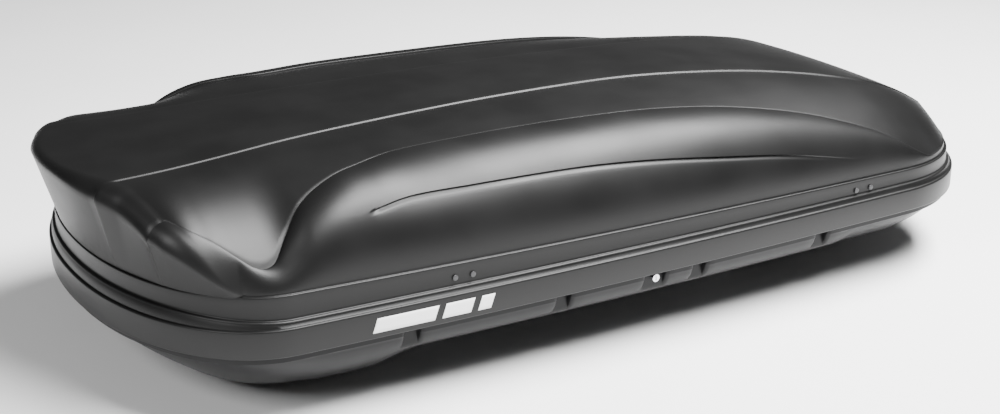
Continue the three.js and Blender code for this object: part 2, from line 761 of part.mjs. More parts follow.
function stayBaseBracket(x) {
  const floor = [];
  for (const y of [-34, -22, -12, -5, 0]) {
    const at = stayLow[0] + y;
    const low = Math.max(trayHeightAt(x - 9, at, BASE_WALL), trayHeightAt(x + 9, at, BASE_WALL));
    floor.push([at, low + FIT_GAP + 1]);
  }
  const foot = polygon([...floor, [stayLow[0], floor[4][1] + 4], [stayLow[0] - 34, floor[0][1] + 8]]);
  const web = polygon([[stayLow[0] - 12, floor[2][1] + 2], [stayLow[0], floor[4][1] + 2],
    [stayLow[0] + 8, stayLow[1]], [stayLow[0] - 8, stayLow[1]]]);
  return join(
    pulledAlongX(foot, x - 9, x + 9),
    pulledAlongX(web, x - 9, x - 5),
    bar('x', x - 9, x - 5, stayLow[0], stayLow[1], 9, 18),
    bar('x', x - 6, x + 5, stayLow[0], stayLow[1], STUD_RADIUS, 16),
  );
}

function lidRib(x) {
  const reach = archAt(x, 0)[0] * RIB_REACH;
  const steps = 10;
  const upper = [];
  const lower = [];
  for (let i = 0; i <= steps; i += 1) {
    const y = mix(-reach, reach, i / steps);
    const z = Math.min(...[x - 14, x - 4].map((at) => roofHeight(at, Math.abs(y), LID_WALL)));
    upper.push([y, z - FIT_GAP - CREST_STEP]);
    lower.push([y, z - FIT_GAP - CREST_STEP - RIB_HEIGHT]);
  }
  return pulledAlongX(polygon([...lower, ...upper.reverse()]), x - 14, x - 4);
}

function stayLidBracket(x) {
  const ribLow = Math.min(...[x - 14, x - 4].map((at) => (
    Math.min(roofHeight(at, stayHigh[0] - 16, LID_WALL), roofHeight(at, stayHigh[0] + 16, LID_WALL))
  ))) - FIT_GAP - CREST_STEP - RIB_HEIGHT;
  const top = ribLow - GAP - 3;
  const plate = polygon([[stayHigh[0] - 9, stayHigh[1]], [stayHigh[0] + 9, stayHigh[1]],
    [stayHigh[0] + 16, top], [stayHigh[0] - 16, top]]);
  return join(
    pulledAlongX(plate, x - 9, x - 5),
    block(x - 14, x - 5, stayHigh[0] - 16, stayHigh[0] + 16, top - 4, top),
    bar('x', x - 9, x - 5, stayHigh[0], stayHigh[1], 9, 18),
    bar('x', x - 6, x + 5, stayHigh[0], stayHigh[1], STUD_RADIUS, 16),
  );
}

// ------------------------------------------------------------------ central lock

const RAIL_LOW = 13;
const RAIL_WALL = 2;
const LOCK_BAR_WIDTH = 6;
const LOCK_BAR_TOP = 23;
const hookPlaces = [-1, 0, 1].map((side) => LOCK_X + side * HOOK_SPACING);
const railFrom = hookPlaces[0] - RAIL_OVERRUN - 15;
const railTo = hookPlaces[2] + RAIL_OVERRUN;

function lockHousing() {
  const body = block(LOCK_X - 26, LOCK_X + 26, -keyPocketBack + BASE_WALL + FIT_GAP, -railY + 20, -19, RAIL_LOW - GAP);
  const floorCut = block(LOCK_X - 30, LOCK_X + 30, -400, -railY + 3, -40, -19);
  const bore = bar('y', -400, -railY + 12, LOCK_X, KEY_Z, KEY_RADIUS + GAP, 20);
  return cut(body, floorCut, bore);
}

function keyBarrel() {
  const front = -halfWidth(LOCK_X, RIM_TO_BASE + 1);
  const shaft = bar('y', front, -railY + 11, LOCK_X, KEY_Z, KEY_RADIUS, 20);
  const slot = block(LOCK_X - 0.8, LOCK_X + 0.8, front - 1, front + 5, KEY_Z - 4, KEY_Z + 4);
  return cut(shaft, slot);
}

function lockRail() {
  const y = -railY;
  const outline = polygon([[y, RAIL_LOW], [y + 20, RAIL_LOW], [y + 20, RAIL_LOW + 12],
    [y + 18, RAIL_LOW + 12], [y + 18, RAIL_LOW + RAIL_WALL], [y + RAIL_WALL, RAIL_LOW + RAIL_WALL],
    [y + RAIL_WALL, RAIL_LOW + 7], [y, RAIL_LOW + 7]]);
  return pulledAlongX(outline, railFrom, railTo);
}

const lockBarY = -railY + RAIL_WALL + GAP;

function lockBar() {
  return block(railFrom + 3, railTo - HOOK_TRAVEL - 2, lockBarY, lockBarY + LOCK_BAR_WIDTH,
    RAIL_LOW + RAIL_WALL + GAP, LOCK_BAR_TOP);
}

function lockHook(x) {
  const finger = STRIKER_Z + STRIKER_RADIUS + 1;
  const column = x - HOOK_TRAVEL - STRIKER_RADIUS - 1.5;
  const outline = [[column - 15, LOCK_BAR_TOP + GAP], [column, LOCK_BAR_TOP + GAP], [column, finger],
    [x - 8, finger], [x - 9, finger + 7], [column - 13, finger + 7]];
  return pulledAlongY(outline, lockBarY + 1, lockBarY + 5);
}

function striker(x) {
  const face = -halfWidth(x, BAND_INSET + LID_WALL + 1);
  const width = 15;
  const plateFrom = Math.max(face, -halfWidth(x - width, BAND_INSET + LID_WALL + 1),
    -halfWidth(x + width, BAND_INSET + LID_WALL + 1)) + GAP * 2;
  const plate = block(x - width, x + width, plateFrom, plateFrom + 3, STRIKER_Z - 4, 72);
  const pin = bar('y', plateFrom + 1, lockBarY + LOCK_BAR_WIDTH + 3, x, STRIKER_Z, STRIKER_RADIUS, 16);
  return join(plate, pin);
}

// ------------------------------------------------------------------ roof-bar clamps

const FLOOR_TOP = -FLOOR_DROP + BASE_WALL;
const railTop = FLOOR_TOP + GAP + FLOOR_RAIL_THICKNESS;

function floorRail(y) {
  const overrun = 60;
  const from = clampPlaces[0] - overrun;
  const to = clampPlaces[1] + overrun;
  const half = FLOOR_RAIL_WIDTH / 2;
  const plate = block(from, to, y - half, y + half, FLOOR_TOP + GAP, railTop);
  const ridge = (side) => block(from, to, y + side * half - 1.5, y + side * half + 1.5, FLOOR_TOP + GAP, railTop + 7);
  const holes = clampPlaces.flatMap((x) => [-1, 1].map((leg) => (
    bar('z', FLOOR_TOP - 2, railTop + 5, x + (leg * U_BOLT_SPAN) / 2, y, U_BOLT_RADIUS + 1, 12)
  )));
  return cut(join(plate, ridge(-1), ridge(1)), ...holes);
}

function uBolt(x, y) {
  const half = U_BOLT_SPAN / 2;
  const top = railTop + KNOB_HEIGHT + 8;
  const low = -FLOOR_DROP - ROOF_BAR_HEIGHT - U_BOLT_RADIUS;
  const turn = 20;
  const at = (dx, z) => new THREE.Vector3(x + dx, y, z);
  const path = new THREE.CurvePath();
  path.add(new THREE.LineCurve3(at(-half, top), at(-half, low + turn)));
  path.add(new THREE.QuadraticBezierCurve3(at(-half, low + turn), at(-half, low), at(-half + turn, low)));
  path.add(new THREE.LineCurve3(at(-half + turn, low), at(half - turn, low)));
  path.add(new THREE.QuadraticBezierCurve3(at(half - turn, low), at(half, low), at(half, low + turn)));
  path.add(new THREE.LineCurve3(at(half, low + turn), at(half, top)));
  const section = new THREE.Shape();
  section.absarc(0, 0, U_BOLT_RADIUS, 0, Math.PI * 2);
  return new THREE.ExtrudeGeometry(section, { steps: 20, extrudePath: path, curveSegments: 4 });
}

function clampKnob(x, y) {
  const lobes = 5;
  const points = [];
  for (let i = 0; i < lobes * 4; i += 1) {
    const a = (i / (lobes * 4)) * Math.PI * 2;
    const r = KNOB_RADIUS - 3 + 3 * Math.cos(a * lobes);
    points.push([x + r * Math.cos(a), y + r * Math.sin(a)]);
  }
  const head = new THREE.ExtrudeGeometry(new THREE.Shape(polygon(points)), { depth: 12, bevelEnabled: false });
  head.translate(0, 0, railTop + KNOB_HEIGHT - 12);
  const collar = bar('z', railTop + GAP, railTop + KNOB_HEIGHT - 6, x, y, 10, 12);
  const bore = bar('z', railTop - 5, railTop + KNOB_HEIGHT + 5, x, y, U_BOLT_RADIUS + GAP, 12);
  return cut(join(head, collar), bore);
}

// ------------------------------------------------------------------ small parts

function rimScrew(x) {
  const y = -halfWidth(x, BAND_INSET);
  const z = screwHeight(x);
  const head = bar('y', y - 2.2 - GAP, y - GAP, x, z, SCREW_HEAD_RADIUS, 14);
  const shank = bar('y', y - GAP - 1, y + LID_WALL + 8, x, z, SCREW_SHANK_RADIUS, 10);
  return join(head, shank);
}

function strap(x) {
  const reach = CLAMP_Y - FLOOR_RAIL_WIDTH / 2 - 6;
  const low = FLOOR_TOP + GAP;
  return block(x - STRAP_WIDTH / 2, x + STRAP_WIDTH / 2, -reach, reach, low, low + STRAP_THICKNESS);
}

function strapBuckle(x) {
  const low = FLOOR_TOP + GAP * 2 + STRAP_THICKNESS;
  const body = block(x - 17, x + 17, -24, 24, low, low + 9);
  const slot = block(x - 13, x + 13, -14, -6, low - 1, low + 20);
  const otherSlot = block(x - 13, x + 13, 6, 14, low - 1, low + 20);
  return cut(body, slot, otherSlot);
}

function sideBadge() {
  const from = RIM_LENGTH * 0.2;
  const steps = 8;
  const rings = [];
  for (let i = 0; i <= steps; i += 1) {
    const x = from + (BADGE_LENGTH * i) / steps;
    const y = -halfWidth(x, 0);
    const high = beadHeight(x) - 10;
    rings.push([[GAP, 8], [GAP + 0.6, 8], [GAP + 0.6, high], [GAP, high]].map(([out, z]) => (
      new THREE.Vector3(x, y - out, z)
    )));
  }
  return loft(rings);
}

// ------------------------------------------------------------------ the object

const finishes = {
  lidPlastic: [0x1b1b1d, 0.45, 0],
  basePlastic: [0x3a3b3e, 0.3, 0],
  sealRubber: [0x101011, 0.8, 0],
  steel: [0x9a9da1, 0.35, 0.9],
  darkSteel: [0x3c3d40, 0.5, 0.8],
  chrome: [0xc8cacd, 0.15, 1],
  knobPlastic: [0x17171a, 0.5, 0],
  webbing: [0x26262a, 0.9, 0],
  badgeWhite: [0xe8e8e8, 0.5, 0],
};

const box = new THREE.Group();

function add(name, geometry, finish) {
  const [color, roughness, metalness] = finishes[finish];
  const material = new THREE.MeshStandardMaterial({ color, roughness, metalness });
  const mesh = new THREE.Mesh(weld(geometry), material);
  mesh.name = name;
  box.add(mesh);
}

add('lid_shell', lidShell(), 'lidPlastic');
add('base_shell', baseShell(), 'basePlastic');
add('rim_seal', rimSeal(), 'sealRubber');
notchPlaces().forEach((x, i) => {
  add(`hinge_${i + 1}_base_leaf`, hingeBaseLeaf(x), 'darkSteel');
  add(`hinge_${i + 1}_lid_leaf`, hingeLidLeaf(x), 'darkSteel');
  add(`hinge_${i + 1}_pin`, hingePin(x), 'steel');
});
for (const [end, x] of [['rear', STAY_REAR_X], ['front', STAY_FRONT_X]]) {
  add(`${end}_lid_rib`, lidRib(x), 'steel');
  add(`${end}_stay_lid_bracket`, stayLidBracket(x), 'darkSteel');
  add(`${end}_stay_base_bracket`, stayBaseBracket(x), 'darkSteel');
  add(`${end}_stay_tube`, stayTube(x), 'darkSteel');
  add(`${end}_stay_rod`, stayRod(x), 'chrome');
}
add('lock_housing', lockHousing(), 'knobPlastic');
add('lock_rail', lockRail(), 'steel');
add('lock_bar', lockBar(), 'steel');
add('key_barrel', keyBarrel(), 'chrome');
hookPlaces.forEach((x, i) => {
  add(`lock_hook_${i + 1}`, lockHook(x), 'darkSteel');
  add(`lid_striker_${i + 1}`, striker(x), 'steel');
});
for (const [side, y] of [['left', CLAMP_Y], ['right', -CLAMP_Y]]) {
  add(`floor_rail_${side}`, floorRail(y), 'steel');
  for (const [end, x] of [['rear', clampPlaces[0]], ['front', clampPlaces[1]]]) {
    add(`u_bolt_${end}_${side}`, uBolt(x, y), 'steel');
    [-1, 1].forEach((leg) => {
      const which = leg < 0 ? 'a' : 'b';
      add(`knob_${end}_${side}_${which}`, clampKnob(x + (leg * U_BOLT_SPAN) / 2, y), 'knobPlastic');
    });
  }
}
screwPlaces.forEach((x, i) => add(`rim_screw_${i + 1}`, rimScrew(x), 'darkSteel'));
[-1, 1].forEach((side, i) => {
  const x = NOTCH_MIDDLE + side * 120;
  add(`strap_${i + 1}`, strap(x), 'webbing');
  add(`strap_buckle_${i + 1}`, strapBuckle(x), 'darkSteel');
});
add('side_badge', sideBadge(), 'badgeWhite');

box.position.set(-(RIM_LENGTH - LIP_OVERHANG) / 2, 0, BASE_DROP);

export default box;
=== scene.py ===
"""Roof cargo box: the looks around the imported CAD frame. Metres, +X to the nose, +Y to the hinges."""

import json
import math

import bmesh
import bpy
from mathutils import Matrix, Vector

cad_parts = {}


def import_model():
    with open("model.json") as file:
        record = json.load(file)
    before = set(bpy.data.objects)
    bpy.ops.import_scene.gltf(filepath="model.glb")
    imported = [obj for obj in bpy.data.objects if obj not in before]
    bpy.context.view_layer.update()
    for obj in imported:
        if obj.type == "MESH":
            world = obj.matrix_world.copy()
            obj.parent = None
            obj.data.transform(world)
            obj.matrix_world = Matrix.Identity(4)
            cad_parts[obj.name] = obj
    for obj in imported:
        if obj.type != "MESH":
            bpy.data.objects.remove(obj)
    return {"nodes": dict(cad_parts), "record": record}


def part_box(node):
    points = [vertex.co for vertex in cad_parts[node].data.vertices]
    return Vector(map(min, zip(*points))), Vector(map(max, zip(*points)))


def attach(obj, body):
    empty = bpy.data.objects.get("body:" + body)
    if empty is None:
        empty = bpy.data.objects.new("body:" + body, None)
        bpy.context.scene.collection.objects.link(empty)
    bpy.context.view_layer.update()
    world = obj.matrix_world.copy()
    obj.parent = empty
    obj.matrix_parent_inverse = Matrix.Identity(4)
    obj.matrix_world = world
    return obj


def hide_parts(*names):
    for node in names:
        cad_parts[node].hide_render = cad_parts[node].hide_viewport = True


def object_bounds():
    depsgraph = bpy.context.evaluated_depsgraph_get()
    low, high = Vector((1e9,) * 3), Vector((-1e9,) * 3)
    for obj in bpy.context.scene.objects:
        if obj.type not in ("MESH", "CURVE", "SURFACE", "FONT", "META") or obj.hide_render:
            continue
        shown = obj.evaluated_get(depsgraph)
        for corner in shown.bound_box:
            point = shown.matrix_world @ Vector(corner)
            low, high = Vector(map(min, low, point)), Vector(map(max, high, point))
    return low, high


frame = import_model()
cad_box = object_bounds()

# ---- sizes of the lid and the base, from the tail of the rim, the middle and the rim's lower edge
LIP_OVERHANG = 0.024
lid_low, lid_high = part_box("lid_shell")
base_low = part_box("base_shell")[0]
TAIL = Vector((lid_low.x + LIP_OVERHANG, 0, lid_low.z))
RIM_LENGTH = lid_high.x - lid_low.x - LIP_OVERHANG
RIM_HALF = 0.395
LID_RISE = 0.240
BASE_DROP = lid_low.z - base_low.z

TAIL_ROUND, TAIL_POWER = 0.216, 2.1
NOSE_ROUND, NOSE_POWER = 0.272, 2.3
SIDE_BOW, WIDEST_AT = 0.06, 0.58
LEDGE_TAIL, LEDGE_NOSE = 0.092, 0.068
BEAD_TAIL, BEAD_NOSE = 0.044, 0.0385
BAND_INSET, FOOT_INSET = 0.0125, 0.018
LID_WALL = BASE_WALL = 0.004
RIM_TO_BASE = 0.0085
CROWN, CREST_STEP, ARCH_STEP, ARCH_DIP = 0.004, 0.0025, 0.003, 0.0022
SIDE_POWER, CORNER_POWER, TAIL_ROLL, NOSE_ROLL = 2.0, 1.3, 2.2, 1.7
LIP_ROUND, LIP_ROLL, LIP_BOW, CORNER_AT, CORNER_TUCK = 0.014, 0.014, 0.215, 0.150, 0.065
FOOT_RISE, FOOT_DEPTH = 0.002, 0.012
CREST_LIMIT, ARCH_SPACING = 0.86, 0.4
ARCH_INSIDE_FOOT, ARCH_ABOVE_LEDGE, ARCH_BELOW_CREST, EDGE_INSIDE_FOOT = 0.003, 0.004, 0.001, 0.001

# The groove: its depth, its steep upper wall, and a way back out that is part quick and part slow.
GROOVE_DEPTH, GROOVE_FADE, GROOVE_WALL, GROOVE_BACK = 0.0042, 0.016, 0.0020, (0.0022, 0.0080)
GROOVE_SLOW, GROOVE_QUICK, GROOVE_LOWEST, GROOVE_HIGHEST = 0.3, 0.7, 0.3, 0.8

# Where the lid's lines fade: LIP_ROLL_OUT is across from the middle, each START is along from the
# tail, and the others are shares of the rim length.
LIP_ROLL_OUT = (0.040, 0.170)
CREST_START, CREST_END, ARCH_END = (0.026, 0.046), (0.95, 0.99), (0.8, 0.87)
GROOVE_START, GROOVE_END = (0.345, 0.362), (0.62, 0.78)
ROLL_BLEND, CORNER_BLEND = (0.1, 0.3), (0.08, 0.19)
LIP_REACH, LIP_TURN, LIP_FULL_HEIGHT = CORNER_AT * 2.7, math.radians(84), 0.09

FLOOR_DROP, FRONT_WELL_DROP = 0.045, 0.095
REAR_WELL_END, FRONT_WELL_START, WELL_RAMP = 0.382, 1.245, 0.042
FLOOR_ROUND, WELL_ROUND, WELL_BEND, WELL_EASE = 0.038, 0.255, 1.6, 0.8
NOTCH_SPACING, NOTCH_MIDDLE, NOTCH_HALF = 0.256, 0.777, 0.0125
LOCK_X, LOCK_HALF = 0.818, 0.020
FLARE = 0.007
FLOOR_BEND, FLOOR_EASE, WELL_SOFT_LEAST, WELL_SOFT_ENDS = 2, 0.5, 0.1, (0.1, 0.3)
NOTCH_DEPTH, LOCK_DEPTH, NOTCH_TOP, HINGE_RECESS_TOP = 0.014, 0.012, -0.004, 0.002
CLEARANCE = 0.0004


def ramp(start, end, x):
    t = min(1, max(0, (x - start) / (end - start)))
    return t * t * (3 - 2 * t)


def mix(a, b, t):
    return a + (b - a) * t


def smooth_line(knots):
    """A smooth line through (place, value) knots."""
    slopes = []
    for i in range(len(knots)):
        before, after = knots[max(0, i - 1)], knots[min(len(knots) - 1, i + 1)]
        slopes.append((after[1] - before[1]) / (after[0] - before[0]))

    def value(place):
        x = min(knots[-1][0], max(knots[0][0], place))
        i = 0
        while i < len(knots) - 2 and x > knots[i + 1][0]:
            i += 1
        width = knots[i + 1][0] - knots[i][0]
        t = (x - knots[i][0]) / width
        u = 1 - t
        start = u * u * (1 + 2 * t) * knots[i][1] + u * u * t * width * slopes[i]
        end = t * t * (3 - 2 * t) * knots[i + 1][1] - t * t * u * width * slopes[i + 1]
        return start + end

    return value


# The long styling lines, as shares of the rim length, of half the width and of the lid's rise.
roof_line = smooth_line([
    (-0.02, 0.94), (0.1, 0.953), (0.2, 0.984), (0.34, 1), (0.45, 1), (0.55, 0.985), (0.65, 0.95),
    (0.75, 0.885), (0.85, 0.775), (0.92, 0.635), (0.98, 0.42), (1, 0.3),
])
crest_line = smooth_line([
    (0, 0.385), (0.06, 0.372), (0.12, 0.347), (0.24, 0.304), (0.37, 0.271), (0.5, 0.254),
    (0.58, 0.25), (0.66, 0.278), (0.74, 0.32), (0.8, 0.37), (0.85, 0.42), (0.9, 0.435), (1, 0.43),
])
arch_spread = smooth_line([
    (0, 0.52), (0.028, 0.545), (0.054, 0.696), (0.075, 0.754), (0.0955, 0.81), (0.105, 0.832),
    (0.116, 0.84), (0.127, 0.826), (0.1406, 0.78), (0.1615, 0.727), (0.195, 0.684),
    (0.23, 0.648), (0.264, 0.613), (0.327, 0.61), (0.42, 0.602), (0.5295, 0.613), (0.601, 0.638),
    (0.669, 0.678), (0.74, 0.734), (0.805, 0.823), (0.839, 0.873), (0.875, 0.911),
])
arch_rise = smooth_line([
    (0, 0.845), (0.028, 0.817), (0.054, 0.758), (0.075, 0.675), (0.0955, 0.5625), (0.105, 0.515),
    (0.116, 0.496), (0.127, 0.525), (0.1406, 0.63), (0.1615, 0.779), (0.195, 0.879),
    (0.23, 0.9125), (0.264, 0.927), (0.327, 0.9375), (0.42, 0.93), (0.5295, 0.904),
    (0.601, 0.867), (0.669, 0.804), (0.74, 0.704), (0.805, 0.567), (0.839, 0.4625),
    (0.875, 0.33),
])
groove_rise = smooth_line([
    (0.2, 0.72), (0.219, 0.746), (0.254, 0.775), (0.314, 0.775), (0.381, 0.767), (0.448, 0.75),
    (0.518, 0.713), (0.592, 0.654), (0.67, 0.583), (0.765, 0.458),
])


def side_bow(x):
    return 1 - SIDE_BOW * ((x - WIDEST_AT * RIM_LENGTH) / (RIM_LENGTH / 2)) ** 2


def half_width(x, inset):
    share = 1
    if x < TAIL_ROUND:
        u = min(1, (TAIL_ROUND - x) / (TAIL_ROUND - inset))
        share = (1 - u ** TAIL_POWER) ** (1 / TAIL_POWER)
    if x > RIM_LENGTH - NOSE_ROUND:
        u = min(1, (x - RIM_LENGTH + NOSE_ROUND) / (NOSE_ROUND - inset))
        share = (1 - u ** NOSE_POWER) ** (1 / NOSE_POWER)
    return (RIM_HALF - inset) * share * side_bow(x)


def rim_point(s, inset):
    """The outline, from the nose (-3) by the lock side to the tail (0) and by the hinges to the nose (3)."""
    along = abs(s)
    if along < 1:
        x = TAIL_ROUND - (TAIL_ROUND - inset) * math.cos(along * math.pi / 2) ** (2 / TAIL_POWER)
    elif along < 2:
        x = mix(TAIL_ROUND, RIM_LENGTH - NOSE_ROUND, along - 1)
    else:
        reach = (NOSE_ROUND - inset) * math.sin((along - 2) * math.pi / 2) ** (2 / NOSE_POWER)
        x = RIM_LENGTH - NOSE_ROUND + reach
    return x, math.copysign(half_width(x, inset), s)


def ledge_height(x):
    return mix(LEDGE_TAIL, LEDGE_NOSE, x / RIM_LENGTH)


def bead_height(x):
    return mix(BEAD_TAIL, BEAD_NOSE, x / RIM_LENGTH)


# ---------------------------------------------------------------- making pieces

def grid(bm, columns, rows, shape):
    """A grid of columns by rows faces whose corners go where shape(i, j) says."""
    made = bmesh.ops.create_grid(bm, x_segments=columns, y_segments=rows, size=1)["verts"]
    for vert in made:
        i = round((vert.co.x + 1) / 2 * columns)
        j = round((vert.co.y + 1) / 2 * rows)
        vert.co = shape(i, j)
    return made


def close_seams(bm, reach=1e-5):
    bmesh.ops.remove_doubles(bm, verts=bm.verts, dist=reach)
    bmesh.ops.dissolve_degenerate(bm, dist=1e-6, edges=bm.edges)
    bmesh.ops.recalc_face_normals(bm, faces=bm.faces)


def piece(name, bm, body, material, slot, replaced=(), crease=35):
    mesh = bpy.data.meshes.new(name)
    bm.to_mesh(mesh)
    bm.free()
    mesh.materials.append(material)
    mesh.polygons.foreach_set("use_smooth", [True] * len(mesh.polygons))
    mesh.set_sharp_from_angle(angle=math.radians(crease))
    made = bpy.data.objects.new(name, mesh)
    bpy.context.collection.objects.link(made)
    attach(made, body)
    if replaced:
        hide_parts(*replaced)
    return made


def wall(made, thickness):
    """Gives an open skin its thickness, inwards."""
    solid = made.modifiers.new("wall", "SOLIDIFY")
    solid.thickness = thickness
    solid.offset = -1
    return made


# ---------------------------------------------------------------- materials

def node_material(name):
    material = bpy.data.materials.new(name)
    material.use_nodes = True
    nodes, links = material.node_tree.nodes, material.node_tree.links
    shader = nodes["Principled BSDF"]
    place = nodes.new("ShaderNodeTexCoord").outputs["Object"]
    return material, nodes, links, shader, place


def noise(nodes, links, place, scale, detail=2.0):
    texture = nodes.new("ShaderNodeTexNoise")
    texture.inputs["Scale"].default_value = scale
    texture.inputs["Detail"].default_value = detail
    links.new(place, texture.inputs["Vector"])
    return texture.outputs["Fac"]


def spread(nodes, links, value, low, high):
    """Turns a pattern's 0.3 to 0.7 into low to high."""
    span = nodes.new("ShaderNodeMapRange")
    span.inputs["From Min"].default_value = 0.3
    span.inputs["From Max"].default_value = 0.7
    span.inputs["To Min"].default_value = low
    span.inputs["To Max"].default_value = high
    links.new(value, span.inputs["Value"])
    return span.outputs["Result"]


def bump(nodes, links, shader, height, depth):
    dent = nodes.new("ShaderNodeBump")
    dent.inputs["Distance"].default_value = depth
    dent.inputs["Strength"].default_value = 1.0
    links.new(height, dent.inputs["Height"])
    links.new(dent.outputs["Normal"], shader.inputs["Normal"])


def two_tone(nodes, links, shader, value, dark, light):
    tone = nodes.new("ShaderNodeValToRGB")
    tone.color_ramp.elements[0].position = 0.35
    tone.color_ramp.elements[1].position = 0.65
    tone.color_ramp.elements[0].color = (*dark, 1)
    tone.color_ramp.elements[1].color = (*light, 1)
    links.new(value, tone.inputs["Fac"])
    links.new(tone.outputs["Color"], shader.inputs["Base Color"])


GLOSS_CHANGE, WEAVE_SCALE, WEAVE_DEPTH = 0.025, 420, 0.0003


def moulded(name, dark, light, rough, grain, depth, metal=0.0, specular=0.5):
    """Plastic, paint, rubber or plated metal: a fine grain, a slow change of tone and of gloss."""
    material, nodes, links, shader, place = node_material(name)
    shader.inputs["Metallic"].default_value = metal
    shader.inputs["Specular IOR Level"].default_value = specular
    slow = noise(nodes, links, place, 9)
    fine = noise(nodes, links, place, grain, 3)
    two_tone(nodes, links, shader, slow, dark, light)
    gloss = spread(nodes, links, slow, rough - GLOSS_CHANGE, rough + GLOSS_CHANGE)
    links.new(gloss, shader.inputs["Roughness"])
    bump(nodes, links, shader, fine, depth)
    return material


def woven(name, dark, light):
    material, nodes, links, shader, place = node_material(name)
    shader.inputs["Roughness"].default_value = 0.85
    shader.inputs["Sheen Weight"].default_value = 0.3
    weave = nodes.new("ShaderNodeTexWave")
    weave.wave_type = "BANDS"
    weave.bands_direction = "DIAGONAL"
    weave.inputs["Scale"].default_value = WEAVE_SCALE
    weave.inputs["Distortion"].default_value = 0.6
    links.new(place, weave.inputs["Vector"])
    two_tone(nodes, links, shader, weave.outputs["Fac"], dark, light)
    bump(nodes, links, shader, weave.outputs["Fac"], WEAVE_DEPTH)
    return material


def grey(value, tint=0.0):
    return value, value, value * (1 + tint)


lid_plastic = moulded("lid_plastic", grey(0.0035), grey(0.0045), 0.40, 1500, 0.00008, specular=0.24)
base_plastic = moulded("base_plastic", grey(0.006, 0.05), grey(0.008, 0.05), 0.34, 900, 0.00003,
                       specular=0.14)
seal_rubber = moulded("seal_rubber", grey(0.010), grey(0.016), 0.75, 1800, 0.0002)
moulded_black = moulded("moulded_black", grey(0.013), grey(0.018), 0.50, 1500, 0.00012)
coated_steel = moulded("coated_steel", grey(0.018, 0.06), grey(0.026, 0.06), 0.42, 700, 0.00004)
buckle_steel = moulded("buckle_steel", grey(0.03), grey(0.04), 0.38, 900, 0.00004)
zinc_steel = moulded("zinc_steel", (0.48, 0.49, 0.50), (0.60, 0.61, 0.62), 0.34, 350, 0.00004, metal=1)
rod_chrome = moulded("rod_chrome", grey(0.60, 0.02), grey(0.68, 0.02), 0.12, 500, 0.00001, metal=1)
lock_chrome = moulded("lock_chrome", grey(0.62, 0.03), grey(0.72, 0.03), 0.16, 500, 0.00001, metal=1)
badge_film = moulded("badge_film", grey(0.74), grey(0.80), 0.35, 900, 0.00002)
strap_webbing = woven("strap_webbing", grey(0.012), grey(0.035))

FINISHES = {
    "lid_plastic": lid_plastic, "base_plastic": base_plastic, "seal_rubber": seal_rubber,
    "moulded_black": moulded_black, "coated_steel": coated_steel, "buckle_steel": buckle_steel,
    "zinc_steel": zinc_steel, "rod_chrome": rod_chrome, "lock_chrome": lock_chrome,
    "badge_film": badge_film, "strap_webbing": strap_webbing,
}
node_slots = {part["node"]: part["material_slot"] for part in frame["record"]["subparts"]}
node_bodies = {
    node: body for body, nodes in frame["record"]["behaviour"]["bodies"].items() for node in nodes
}
for node, cad_object in frame["nodes"].items():
    cad_object.data.materials.clear()
    cad_object.data.materials.append(FINISHES[node_slots[node]])


# ---------------------------------------------------------------- lid skin

def lip_round(y):
    return LIP_ROUND + LIP_ROLL * ramp(*LIP_ROLL_OUT, abs(y))


def lip_edge(y):
    """The start of the tail lip's rounding, as x over y."""
    across = y / RIM_HALF
    return -LIP_OVERHANG + lip_round(y) + LIP_BOW * across ** 2


def side_foot(x):
    return half_width(max(x, CORNER_AT), FOOT_INSET)


def crest_at(x):
    y = min(crest_line(x / RIM_LENGTH) * RIM_HALF, side_foot(x) * CREST_LIMIT)
    return y, roof_line(x / RIM_LENGTH) * LID_RISE - CROWN


def arch_at(x):
    foot = side_foot(x)
    y = min(arch_spread(x / RIM_LENGTH) * RIM_HALF, foot - ARCH_INSIDE_FOOT)
    z = max(arch_rise(x / RIM_LENGTH) * LID_RISE, ledge_height(x) + ARCH_ABOVE_LEDGE)
    crest_y, crest_z = crest_at(x)
    return max(y, crest_y + (foot - crest_y) * ARCH_SPACING), min(z, crest_z - ARCH_BELOW_CREST)


def roof_height(x, y):
    """Height of the roof between the middle and the arch line."""
    crest_y, crest_z = crest_at(x)
    if y <= crest_y:
        return crest_z + CROWN * (1 - (y / crest_y) ** 2)
    arch_y, arch_z = arch_at(x)
    power = mix(TAIL_ROLL, NOSE_ROLL, ramp(ROLL_BLEND[0] * RIM_LENGTH, ROLL_BLEND[1] * RIM_LENGTH, x))
    return crest_z - (crest_z - arch_z) * min(1, (y - crest_y) / (arch_y - crest_y)) ** power


def crest_step(x):
    """How far the roof drops outside the crest line, which ends short of the lip and of the nose."""
    return CREST_STEP * ramp(*CREST_START, x) * (1 - ramp(*CREST_END, x / RIM_LENGTH))


def groove_height(x):
    """Height of the groove line, held on the side panel where the panel is too low for it."""
    foot_z, edge_z = ledge_height(x) + FOOT_RISE, arch_at(x)[1]
    line = groove_rise(x / RIM_LENGTH) * LID_RISE
    lowest, highest = mix(foot_z, edge_z, GROOVE_LOWEST), mix(foot_z, edge_z, GROOVE_HIGHEST)
    return min(highest, max(lowest, line))


def groove_dent(x, z):
    """How deep the groove is at height z: a steep upper wall, then a slower way back out."""
    below = groove_height(x) - z
    if below < 0:
        return 0
    strength = ramp(*GROOVE_START, x) * (1 - ramp(*GROOVE_END, x / RIM_LENGTH))
    back = GROOVE_SLOW * math.exp(-below / GROOVE_FADE) + GROOVE_QUICK * (1 - ramp(*GROOVE_BACK, below))
    return GROOVE_DEPTH * strength * ramp(0, GROOVE_WALL, below) * back


